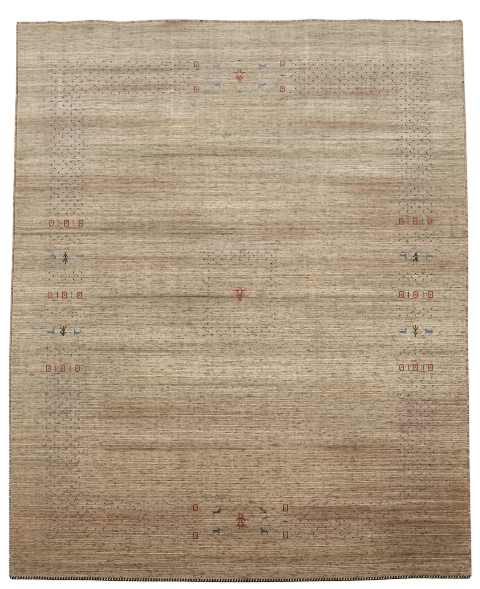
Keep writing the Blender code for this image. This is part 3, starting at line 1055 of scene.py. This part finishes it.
DYES = {
    "red": (154, 60, 54), "red_deep": (142, 57, 51), "red_top": (164, 84, 72), "red_low": (100, 26, 12),
    "green": (96, 108, 78), "dark_green": (56, 70, 46), "forest": (58, 54, 32),
    "blue": (124, 137, 141), "steel": (85, 105, 115), "grey_blue": (91, 94, 103), "teal": (90, 113, 112),
    "deep_blue": (39, 54, 55), "leaf": (56, 74, 50), "mist": (142, 146, 146), "purple": (142, 132, 136),
    "dusk": (74, 62, 72), "sky": (132, 145, 148),
    "brown": (94, 74, 58), "ink": (66, 57, 48), "moss": (84, 82, 64), "slate": (74, 72, 78), "plum": (88, 64, 72),
    "navy": (62, 58, 72), "wine": (116, 44, 42), "rust": (158, 88, 56), "sea": (56, 88, 82), "stone": (104, 96, 84),
    "black": (40, 36, 30),
}

# chart, x and y of its middle in photo pixels, flip across, flip along, dye of X, dye of o, dye of P
Motif = namedtuple("Motif", "chart px py flip_x flip_y dye second third", defaults=(False, False, "red", "moss", "purple"))
MOTIFS = []
for px, py, shape in ((196.3, 64.2, BOX_PLAIN), (196.4, 89.3, BOX_ROUND), (282.6, 63.6, BOX_PLAIN), (282.6, 89.2, BOX_PLAIN)):
    MOTIFS.append(Motif(shape, px, py, False, py > 80, "red_top"))
for px, py, shape in ((195.3, 507.7, BOX_ROUND), (195.2, 535.3, BOX), (285.5, 507.9, BOX), (285.5, 534.9, BOX)):
    MOTIFS.append(Motif(shape, px, py, False, px > 200, "red_low"))
MOTIFS += [
    Motif(WOMAN, 239.6, 76.0, False, True, "red_top"),
    Motif(WOMAN_TALL, 239.9, 294.0, False, True, "red_deep"),
    Motif(WOMAN_LOW, 240.8, 521.2, False, False, "red_low"),
    Motif(GOAT_I, 216.9, 67.3, dye="sky", third="purple"), Motif(GOAT_J, 216.9, 85.2, dye="blue", third="mist"),
    Motif(GOAT_K, 262.1, 67.0, dye="blue", third="purple"), Motif(GOAT_L, 262.2, 85.4, dye="blue", third="purple"),
    Motif(GOAT_M, 216.8, 511.4, dye="deep_blue", second="leaf", third="dusk"),
    Motif(GOAT_N, 216.6, 530.9, dye="deep_blue", third="teal"),
    Motif(GOAT_O, 263.6, 510.0, dye="deep_blue", third="purple"), Motif(GOAT_P, 264.2, 531.4, dye="deep_blue", third="teal"),
    Motif(DASH, 197.6, 69.7, dye="moss"), Motif("XXX", 239.2, 60.6, dye="slate"), Motif("XXXXX", 240.1, 92.0, dye="moss"),
    Motif("XXXX\n.XXX", 282.4, 75.7, dye="stone"), Motif("XXX", 195.0, 521.6, dye="dark_green"),
    Motif("XXXX", 285.2, 521.4, dye="black"), Motif("XXXXX", 264.0, 518.8, dye="slate"),
    Motif("XXXX", 239.2, 505.0, dye="dark_green"), Motif("XXXX", 240.0, 538.5, dye="dark_green"),
]
for y, boxes, lines, kinds in (
    (223.3, (51.5, 66.5, 81.0), (58.9, 73.3), (BENT, BROKEN)), (295.2, (50.0, 64.6, 79.7), (57.4, 71.4), (LINE, BROKEN)),
    (368.5, (48.4, 63.0, 77.6), (55.5, 70.4), (LINE, LINE)),
    (221.3, (401.2, 415.1, 429.9), (408.2, 422.5), (BENT, LINE)), (294.5, (401.4, 415.5, 430.6), (408.4, 423.3), (LINE, BROKEN)),
    (367.6, (401.6, 415.5, 430.5), (408.5, 423.4), (LINE, LINE)),
):
    for k, px in enumerate(boxes):
        MOTIFS.append(Motif((BOX, BOX_ROUND, BOX)[(k + int(y)) % 3], px, y, False, k == 1, ("red", "red_deep")[(k + int(px)) % 2]))
    for px, kind in zip(lines, kinds):
        MOTIFS.append(Motif(kind, px, y, dye="dark_green" if (px, y) in {(408.4, 294.5), (57.4, 295.2)} else "green"))
MOTIFS += [
    Motif(TREE, 65.5, 258.0, dye="forest"), Motif(TREE_FULL, 415.7, 257.4, dye="forest"),
    Motif(TREE_FULL, 63.2, 331.2, flip_y=True, dye="forest"), Motif(TREE, 415.5, 331.0, flip_y=True, dye="forest"),
    Motif(GOAT_A, 52.4, 256.9, dye="steel", third="mist"), Motif(GOAT_B, 79.9, 256.4, dye="grey_blue", third="mist"),
    Motif(GOAT_C, 403.2, 256.4, dye="grey_blue", third="purple"), Motif(GOAT_D, 428.9, 257.0, dye="teal", third="mist"),
    Motif(GOAT_E, 50.6, 331.4, dye="teal", third="mist"), Motif(GOAT_F, 77.3, 331.2, dye="teal", third="mist"),
    Motif(GOAT_G, 402.9, 331.2, dye="steel", third="mist"), Motif(GOAT_H, 428.9, 331.4, dye="grey_blue", third="mist"),
]

# blocks of single knots in staggered rows: first row, how many, row pitch; first dot, how many,
# pitch; drift of x per pixel down; whether the first row is the one with more dots; dyes
Dots = namedtuple("Dots", "y rows row_pitch x count pitch drift full dyes")
QUIET = ("ink", "brown", "brown", "moss", "stone", "ink", "brown", "brown")
SOFT = ("ink", "black", "brown", "plum", "ink", "brown", "moss", "navy", "ink", "black", "brown", "wine")
DOTS = [Dots(*d) for d in (
    (62.1, 9, 3.88, 51.6, 17, 8.54, 0.0, True, QUIET), (60.8, 9, 3.95, 291.0, 13, 8.82, 0.0, True, QUIET),
    (60.8, 9, 3.95, 401.6, 4, 8.2, 0.0, False, QUIET),
    (97.4, 29, 3.975, 51.6, 5, 8.05, -0.011, False, SOFT), (96.9, 29, 3.96, 396.8, 5, 8.07, 0.021, False, SOFT),
    (381.9, 29, 4.16, 46.4, 5, 8.2, 0.0, False, SOFT), (381.9, 29, 4.16, 400.0, 5, 8.2, 0.004, False, SOFT),
    # between the rows of motifs
    (213.0, 1, 3.6, 50.1, 5, 8.1, 0.0, True, SOFT), (378.2, 1, 3.6, 46.7, 5, 7.95, 0.0, True, SOFT),
    (236.4, 3, 3.4, 50.1, 5, 8.1, 0.0, True, SOFT), (309.5, 3, 3.4, 47.9, 5, 8.1, 0.0, True, SOFT),
    (348.3, 3, 3.55, 47.2, 5, 8.1, 0.0, True, SOFT), (211.5, 1, 3.5, 399.2, 5, 7.98, 0.0, True, SOFT),
    (234.3, 3, 3.25, 399.6, 5, 7.93, 0.0, True, SOFT), (273.5, 3, 3.2, 399.4, 5, 8.03, 0.0, True, SOFT),
    (308.6, 3, 3.5, 399.4, 5, 8.03, 0.0, True, ("slate", "navy", "wine", "sea", "ink")),
    (347.4, 3, 3.25, 400.0, 5, 7.88, 0.0, True, SOFT), (377.6, 1, 3.6, 400.0, 5, 8.0, 0.0, True, SOFT),
)]
# the bottom bands have one or two dyes a row
LOW_ROWS = [
    (503.7, ("ink", "navy", "sea", "ink")), (508.0, ("wine", "wine", "ink", "wine")), (512.2, ("ink", "moss", "sea")),
    (516.5, ("brown", "wine", "ink")), (520.8, ("ink", "ink", "brown")), (525.0, ("wine", "ink", "wine")),
    (528.9, ("navy", "navy", "ink", "slate")), (532.9, ("wine", "brown", "ink")), (537.1, ("navy", "plum", "ink", "wine")),
]
SPARE = [(72.7, 309.5, "plum"), (72.7, 313.0, "navy")]


def chart_knots(motif):
    lines = [r for r in motif.chart.split("\n") if r]
    wide, tall = max(len(r) for r in lines), len(lines)
    x0, y0 = (float(v) for v in spot(motif.px, motif.py))
    dye = {"X": motif.dye, "o": motif.second, "P": motif.third}
    for j, line in enumerate(lines):
        for i, letter in enumerate(line):
            if letter in dye:
                u = (i - (wide - 1) / 2) * (-1 if motif.flip_x else 1)
                v = ((tall - 1) / 2 - j) * (-1 if motif.flip_y else 1)
                yield x0 + u * KNOT_W, y0 + v * KNOT_H, dye[letter]


def dot_knots():
    out = []
    r = np.random.default_rng(77)
    for d in DOTS:
        for k in range(d.rows):
            full = (k % 2 == 0) == d.full
            y = d.y + k * d.row_pitch
            shift = 0.0 if full else d.pitch / 2
            for i in range(d.count if full else d.count - 1):
                if r.random() < 0.03:
                    continue
                x = d.x + shift + i * d.pitch + d.drift * (y - d.y) + r.normal(0, 0.25)
                out.append((x, y + r.normal(0, 0.22), d.dyes[r.integers(len(d.dyes))]))
    for k, (y, dyes) in enumerate(LOW_ROWS):
        for i in range(16):
            j = i + (0.0 if k % 2 == 0 else 0.5)
            left = 46.4 + 7.75 * j + 0.065 * j * j
            right = 291.0 + 8.9 * j
            for x in (left, right):
                if (x > 189 and x < 288) or x > 435 or r.random() < 0.03:
                    continue
                out.append((x + r.normal(0, 0.3), y + r.normal(0, 0.25), dyes[r.integers(len(dyes))]))
    # the middle square: a frame of dots, three rows deep above and below, two dots deep at the sides
    for k in range(23):
        y = 252.2 + 3.78 * k
        x0 = 204.4 - 1.1 * k / 22
        count, shift = (9, 0.0) if k % 2 == 0 else (8, 4.44)
        for i in range(count):
            side = i in (0, count - 1) if k % 2 else i in (0, count - 1)
            if not (k < 3 or k > 19 or side):
                continue
            dye = SOFT[r.integers(len(SOFT))]
            if (k, i) in {(5, 0), (7, 0), (11, 7), (15, 7), (21, 5)}:
                dye = "wine"
            if (k, i) in {(6, 0), (0, 4), (20, 0), (18, 0), (22, 0), (18, 8), (20, 8)}:
                dye = "navy"
            out.append((x0 + shift + 8.88 * i + r.normal(0, 0.25), y + r.normal(0, 0.22), dye))
    # the lively rows at the left, under the first goats
    for y, dyes in ((272.8, ("plum", "steel", "blue", "navy", "dark_green")), (276.2, ("wine", "rust", "rust", "stone")),
                    (279.4, ("plum", "blue", "steel", "navy", "dark_green"))):
        for i, dye in enumerate(dyes):
            out.append((49.2 + (4.05 if len(dyes) == 4 else 0) + 8.1 * i, y, dye))
    out += SPARE
    result = []
    for px, py, dye in out:
        x, y = (float(v) for v in spot(px, py))
        result.append((x, y, dye))
    return result


def make_knots(name, knots, wide, tall, seed):
    """Joined tufts, a little proud of the pile, one for each dyed knot."""
    r = np.random.default_rng(seed)
    corner = [2 * math.pi * (k + 0.5) / 8 for k in range(8)]
    ring = np.array([(math.copysign(abs(math.cos(a)) ** 0.6, math.cos(a)), math.copysign(abs(math.sin(a)) ** 0.6, math.sin(a)))
                     for a in corner])
    ring = ring / np.abs(ring).max(0) / 2
    verts, faces, colours, uvs = [], [], [], []
    cells = math.ceil(math.sqrt(len(knots)))
    for k, (x, y, dye) in enumerate(knots):
        x, y = x + r.normal(0, 0.00025), y + r.normal(0, 0.00022)
        w, h = wide * r.uniform(0.96, 1.10), tall * r.uniform(0.96, 1.10)
        top = float(pile_height(x, y)) + r.uniform(0.0004, 0.0008)
        base = len(verts)
        for scale, z in ((1.0, top - 0.0022), (1.0, top - 0.0003), (0.66, top + 0.0002)):
            for cx, cy in ring:
                verts.append((x + cx * w * scale, y + cy * h * scale, z))
        verts.append((x, y, top + 0.0003))
        for a in range(8):
            b = (a + 1) % 8
            faces.append((base + a, base + b, base + 8 + b, base + 8 + a))
            faces.append((base + 8 + a, base + 8 + b, base + 16 + b, base + 16 + a))
            faces.append((base + 16 + a, base + 16 + b, base + 24))
        faces.append(tuple(base + a for a in range(7, -1, -1)))
        shade = np.clip(np.array(DYES[dye]) * r.uniform(0.88, 1.12) + r.normal(0, 3, 3), 8, 245)
        colours += [to_linear(shade / 255) / LIGHT] * 25
        # each tuft has a square of its own on the map
        cu, cv = (k % cells + 0.5) / cells, (k // cells + 0.5) / cells
        reach = 0.42 / cells
        for scale in (1.0, 0.82, 0.55):
            uvs += [(cu + 2 * reach * px * scale, cv + 2 * reach * py * scale) for px, py in ring]
        uvs.append((cu, cv))
    mesh = make_mesh(name, np.array(verts) + [*CENTRE, 0.0], faces)
    add_point_colour(mesh, "yarn", np.array(colours))
    corner = np.zeros(len(mesh.loops), np.int64)
    mesh.loops.foreach_get("vertex_index", corner)
    add_uv(mesh, "OFBake", np.array(uvs)[corner])
    mesh.materials.append(KNOT_MATERIAL)
    return link(name, mesh)


# --- overcast edges ------------------------------------------------------------------

SHADES = {
    "pitch": (24, 18, 8), "pitch_green": (28, 28, 14), "pitch_red": (52, 26, 18), "cream": (206, 190, 158),
    "pink_tan": (190, 162, 140), "tan": (184, 158, 131), "rust_brown": (150, 118, 96), "dark_brown": (112, 90, 70),
    "olive": (152, 136, 102), "golden": (190, 158, 110), "pale": (205, 188, 163), "grey_brown": (160, 141, 117),
    "rose": (180, 148, 129), "sand": (188, 170, 145), "moss_brown": (84, 74, 52), "umber": (134, 108, 84), "bark": (112, 98, 72),
}


class Edge:
    """The centre line of one overcast cord, with its direction and its outward side."""

    def __init__(self, kind):
        self.kind = kind
        step = np.linspace(-1, 1, 481)
        reach = GAP + CORD_WIDTH / 2
        if kind in ("top", "bottom"):
            sign = 1 if kind == "top" else -1
            x, y = place(step, [float(sign)])
            pts = np.column_stack([x[0], y[0] + sign * reach])
            over = CORD_WIDTH + GAP - 0.0012
            pts = np.vstack([pts[0] - [over, 0], pts, pts[-1] + [over, 0]])
        else:
            sign = 1 if kind == "right" else -1
            x, y = place([float(sign)], step)
            pts = np.column_stack([x[:, 0] + sign * reach, y[:, 0]])
        self.pts = pts
        self.at = np.concatenate([[0], np.cumsum(np.hypot(*np.diff(pts, axis=0).T))])
        self.length = self.at[-1]
        self.out_sign = {"top": 1, "bottom": -1, "right": -1, "left": 1}[kind]

    def point(self, d):
        x, y = np.interp(d, self.at, self.pts[:, 0]), np.interp(d, self.at, self.pts[:, 1])
        e = 0.004
        ax = np.interp(d + e, self.at, self.pts[:, 0]) - np.interp(d - e, self.at, self.pts[:, 0])
        ay = np.interp(d + e, self.at, self.pts[:, 1]) - np.interp(d - e, self.at, self.pts[:, 1])
        n = math.hypot(ax, ay)
        ax, ay = ax / n, ay / n
        return (x, y), (ax, ay), (-ay * self.out_sign, ax * self.out_sign)


def yarn_profile(inner, short=False):
    """How a stitch goes over the cord, as (outward, up) in metres; inner is how far in it reaches."""
    if short:
        return np.array([(1.6, 7.0), (0.8, 9.8), (-0.8, 10.8), (-2.8, 11.1), (-4.8, 11.0), (-6.6, 10.4), (-7.6, 8.6)]) / 1000
    mm = [(3.6, 0.9), (4.9, 2.6), (5.2, 5.4), (4.3, 8.0), (2.0, 9.9), (-1.4, 10.6)]
    inner = inner * 1000
    mm += [(-1.4 - (inner - 1.4) * 0.55, 10.9), (-inner + 0.3, 10.6 if inner < 8 else 11.6), (-inner - 0.6, 7.5 if inner < 8 else 9.5)]
    return np.array(mm) / 1000


def add_strand(store, path, width, thick, shade, cell, cells):
    """A flattened strand along 3-D points; path rows are x, y, z and the sideways direction x, y."""
    p = path[:, :3]
    side = np.column_stack([path[:, 3:5], np.zeros(len(path))])
    tangent = np.gradient(p, axis=0)
    tangent /= np.linalg.norm(tangent, axis=1)[:, None]
    up = np.cross(tangent, side)
    up /= np.linalg.norm(up, axis=1)[:, None]
    sides = 6
    base = len(store["verts"])
    run = np.concatenate([[0], np.cumsum(np.linalg.norm(np.diff(p, axis=0), axis=1))])
    cu, cv = (cell % cells) / cells, (cell // cells) / cells
    for k in range(len(p)):
        f = 0.72 if k in (0, len(p) - 1) else 1.0
        for a in range(sides):
            ang = 2 * math.pi * a / sides
            q = p[k] + side[k] * (math.cos(ang) * width / 2 * f) + up[k] * (math.sin(ang) * thick / 2 * f)
            store["verts"].append(tuple(q))
            store["colour"].append(shade)
    for k in range(len(p) - 1):
        for a in range(sides):
            b = (a + 1) % sides
            i = base + k * sides
            store["faces"].append((i + a, i + b, i + sides + b, i + sides + a))
            va, vb = a * width * 0.45, (a + 1) * width * 0.45
            store["yarn_uv"] += [(run[k], va), (run[k], vb), (run[k + 1], vb), (run[k + 1], va)]
            la, lb = (cv + (0.06 + 0.88 * a / sides) / cells), (cv + (0.06 + 0.88 * (a + 1) / sides) / cells)
            u0, u1 = cu + (0.06 + 0.88 * run[k] / run[-1]) / cells, cu + (0.06 + 0.88 * run[k + 1] / run[-1]) / cells
            store["bake_uv"] += [(u0, la), (u0, lb), (u1, lb), (u1, la)]
    for first, order in ((base, range(sides - 1, -1, -1)), (base + (len(p) - 1) * sides, range(sides))):
        store["faces"].append(tuple(first + a for a in order))
        for a in order:
            ang = 2 * math.pi * a / sides
            spot_uv = (cu + (0.5 + 0.1 * math.cos(ang)) / cells, cv + (0.5 + 0.1 * math.sin(ang)) / cells)
            store["yarn_uv"].append((0.001 * math.cos(ang), 0.001 * math.sin(ang)))
            store["bake_uv"].append(spot_uv)


def new_store():
    return {"verts": [], "faces": [], "colour": [], "yarn_uv": [], "bake_uv": []}


def finish_store(name, store, material):
    mesh = make_mesh(name, round_corners(store["verts"]) + [*CENTRE, 0.0], store["faces"])
    add_point_colour(mesh, "yarn", np.array(store["colour"]))
    add_uv(mesh, "YarnUV", store["yarn_uv"])
    add_uv(mesh, "OFBake", store["bake_uv"])
    mesh.uv_layers["OFBake"].active = True
    mesh.materials.append(material)
    return link(name, mesh)


def make_core(edge, name, material, shades, seed):
    """The padded cord under the stitches."""
    r = np.random.default_rng(seed)
    store = new_store()
    count = int(edge.length / 0.020)
    stops = np.linspace(0.0008, edge.length - 0.0008, count)
    sides = 10
    rows = 12
    per = math.ceil(count / rows)
    for k, d in enumerate(stops):
        (x, y), _, (ox, oy) = edge.point(d)
        f = 0.7 if k in (0, count - 1) else 1.0
        shade = to_linear(np.array(SHADES[shades[r.integers(len(shades))]]) / 255) / LIGHT
        for a in range(sides):
            ang = 2 * math.pi * a / sides
            out, up = 0.0046 * f * math.cos(ang), 0.0049 + 0.0048 * f * math.sin(ang)
            store["verts"].append((x + ox * out, y + oy * out, max(up, 0.0002)))
            store["colour"].append(shade)
    for k in range(count - 1):
        row, col = k // per, k % per
        for a in range(sides):
            b = (a + 1) % sides
            i = k * sides
            store["faces"].append((i + a, i + b, i + sides + b, i + sides + a))
            w = 2 * math.pi * 0.0048 / sides
            store["yarn_uv"] += [(a * w, stops[k]), ((a + 1) * w, stops[k]), ((a + 1) * w, stops[k + 1]), (a * w, stops[k + 1])]
            u0, u1 = 0.004 + 0.99 * col / per, 0.004 + 0.99 * (col + 1) / per
            v0 = (row + 0.05 + 0.9 * a / sides) / rows
            v1 = (row + 0.05 + 0.9 * (a + 1) / sides) / rows
            store["bake_uv"] += [(u0, v0), (u0, v1), (u1, v1), (u1, v0)]
    for first, order in ((0, range(sides - 1, -1, -1)), ((count - 1) * sides, range(sides))):
        store["faces"].append(tuple(first + a for a in order))
        for a in order:
            store["yarn_uv"].append((0.002 * a, 0.0))
            store["bake_uv"].append((0.002 + 0.001 * (a % 3), 0.002 + 0.001 * (a // 3)))
    return finish_store(name, store, material)


def make_stitches(edge, name, material, pitch, slant, pick, seed, line=None):
    """Strands wound over the cord; pick(k, where) gives the shade, the reach inwards and the width."""
    r = np.random.default_rng(seed)
    store = new_store()
    count = int((edge.length - 0.004) / pitch)
    cells = math.ceil(math.sqrt(count + 40))
    for k in range(count):
        d = 0.002 + (edge.length - 0.004) * (k + 0.5) / count + r.normal(0, pitch * 0.05)
        (x, y), (ax, ay), (ox, oy) = edge.point(d)
        px, py = pixel(x, y)
        shade, inner, width, thick = pick(k, px, py, r)
        prof = yarn_profile(inner * r.uniform(0.93, 1.07), short=inner == 0)
        lean = slant * r.uniform(0.8, 1.2)
        span = prof[0, 0] - prof[:, 0]
        along = (span / span.max() - 0.45) * lean
        path = np.column_stack([x + ox * prof[:, 0] + ax * along, y + oy * prof[:, 0] + ay * along,
                                prof[:, 1] + r.uniform(-0.0002, 0.0003), np.full(len(prof), ax), np.full(len(prof), ay)])
        tone = np.clip(np.array(SHADES[shade]) * r.uniform(0.88, 1.12) + r.normal(0, 3, 3), 6, 245)
        add_strand(store, path, width, thick, to_linear(tone / 255) / LIGHT, k, cells)
    if line:
        # the yarn's running line along the outside
        shade, out, up, thick = line
        steps = np.linspace(0.001, edge.length - 0.001, 41)
        for part, (d0, d1) in enumerate(zip(steps, steps[1:])):
            pts = []
            for d in np.linspace(d0 - 0.0006, d1 + 0.0006, 10):
                (x, y), (ax, ay), (ox, oy) = edge.point(min(max(d, 0.0005), edge.length - 0.0005))
                pts.append((x + ox * out, y + oy * out, up, ox, oy))
            tone = np.array(SHADES[shade]) * r.uniform(0.9, 1.1)
            add_strand(store, np.array(pts), thick, thick * 0.8, to_linear(tone / 255) / LIGHT, count + part % 40, cells)
    return finish_store(name, store, material)


def pick_bottom(k, px, py, r):
    if k % 2 == 0:
        shade = ("pitch", "pitch", "pitch", "pitch_green", "pitch_red")[r.integers(5)]
        return shade, 0.0102, 0.0080, 0.0026
    return ("cream", "sand", "tan", "olive", "sand")[r.integers(5)], 0, 0.0056, 0.0018


def pick_top(k, px, py, r):
    if 178 < px < 187 or 200 < px < 208 or 410 < px < 456:
        names = ("rust_brown", "pink_tan", "olive", "umber", "pink_tan")
    elif 187 < px < 199 or 420 < px < 426:
        names = ("golden", "pale", "pink_tan", "golden")
    else:
        names = ("pink_tan", "pink_tan", "tan", "grey_brown", "rose", "pink_tan", "tan")
    return names[r.integers(len(names))], 0.0058, 0.0070, 0.0014


def pick_left(k, px, py, r):
    low = min(max((py - 380) / 120, 0), 1)
    if k % 2:
        names = ("bark", "dark_brown", "bark", "umber") if r.random() < low else ("rust_brown", "rose", "tan", "rose", "grey_brown")
    else:
        names = ("sand", "pale", "tan") if r.random() < low else ("tan", "sand", "pink_tan")
    return names[r.integers(len(names))], 0.0036, 0.0070, 0.0014


def pick_right(k, px, py, r):
    low = min(max((py - 200) / 300, 0), 1)
    if k % 2:
        names = ("rust_brown", "dark_brown", "umber", "dark_brown") if r.random() < 0.06 + 0.85 * low else ("rose", "pink_tan", "tan", "rose")
    else:
        names = ("sand", "pink_tan", "tan", "pink_tan") if r.random() > 0.8 * low else ("rust_brown", "tan", "grey_brown", "umber")
    return names[r.integers(4)], 0.0056, 0.0070, 0.0014


# --- build ---------------------------------------------------------------------------

KNOT_MATERIAL = knot_material()
field = make_field()
knots = [k for m in MOTIFS for k in chart_knots(m)]
motifs = make_knots("motif_knots", knots, 0.0056, 0.0051, 51)
dots = make_knots("dot_knots", dot_knots(), 0.0064, 0.0062, 52)

CORD = stitch_material("padded_cord")
STITCH = stitch_material("overcast_yarn")
edges = {kind: Edge(kind) for kind in ("top", "bottom", "left", "right")}
cores = {
    "top": make_core(edges["top"], "end_cord_top", CORD, ("pink_tan", "tan"), 61),
    "bottom": make_core(edges["bottom"], "end_cord_bottom", CORD, ("pitch", "pitch_green", "moss_brown"), 62),
    "left": make_core(edges["left"], "side_cord_left", CORD, ("tan", "sand"), 63),
    "right": make_core(edges["right"], "side_cord_right", CORD, ("pink_tan", "tan"), 64),
}
stitches = {
    "top": make_stitches(edges["top"], "end_stitches_top", STITCH, 0.0063, 0.004, pick_top, 71),
    "bottom": make_stitches(edges["bottom"], "end_stitches_bottom", STITCH, 0.0070, 0.0045, pick_bottom, 72,
                            line=("pitch", 0.0030, 0.0062, 0.0080)),
    "left": make_stitches(edges["left"], "side_stitches_left", STITCH, 0.0063, 0.004, pick_left, 73),
    "right": make_stitches(edges["right"], "side_stitches_right", STITCH, 0.0063, 0.004, pick_right, 74),
}

pieces = [field, motifs, dots, *cores.values(), *stitches.values()]
for obj in pieces:
    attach(obj, "root")
for kind, node, slot in (
    ("top", "end_binding_top", "wool_top_binding"), ("bottom", "end_binding_bottom", "wool_bottom_binding"),
    ("left", "selvedge_left", "wool_side_cord"), ("right", "selvedge_right", "wool_side_cord"),
):
    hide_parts(node)
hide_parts("rug_body")
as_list(pieces[1:])

# --- studio --------------------------------------------------------------------------

plane = bpy.data.meshes.new("studio_floor")
plane.from_pydata([(-30, -30, -0.0002), (30, -30, -0.0002), (30, 30, -0.0002), (-30, 30, -0.0002)], [], [(0, 1, 2, 3)])
plane.materials.append(floor_material())
floor = link("studio_floor", plane)

world = bpy.data.worlds.new("studio")
world.use_nodes = True
world.node_tree.nodes["Background"].inputs["Color"].default_value = (1.0, 1.0, 1.0, 1.0)
world.node_tree.nodes["Background"].inputs["Strength"].default_value = 0.80
bpy.context.scene.world = world

sun = bpy.data.lights.new("soft_light", "SUN")
sun.energy = 1.30
sun.angle = math.radians(50)
sun_obj = link("soft_light", sun)
sun_obj.rotation_euler = (math.radians(28), math.radians(-24), 0.0)

camera = bpy.data.cameras.new("photo_view")
camera.sensor_width = 36.0
camera.lens = VIEW_SCALE * 36.0 / PHOTO[1]
camera.shift_x = (PHOTO[0] / 2 - VIEW_MIDDLE[0]) / PHOTO[1]
camera.shift_y = (VIEW_MIDDLE[1] - PHOTO[1] / 2) / PHOTO[1]
camera.clip_start, camera.clip_end = 0.05, 100.0
cam = link("photo_view", camera)
cam.location = (CENTRE[0], CENTRE[1] - VIEW_FAR * math.sin(VIEW_TILT), VIEW_FAR * math.cos(VIEW_TILT) + 0.010)
cam.rotation_euler = (VIEW_TILT, 0.0, 0.0)
scene = bpy.context.scene
scene.camera = cam
scene.view_settings.view_transform = "Standard"
scene.view_settings.look = "None"
scene.cycles.filter_width = 0.9
scene.cycles.use_denoising = False

for o in pieces:
    print(o.name, len(o.data.polygons), "faces", sum(len(p.vertices) - 2 for p in o.data.polygons), "triangles")
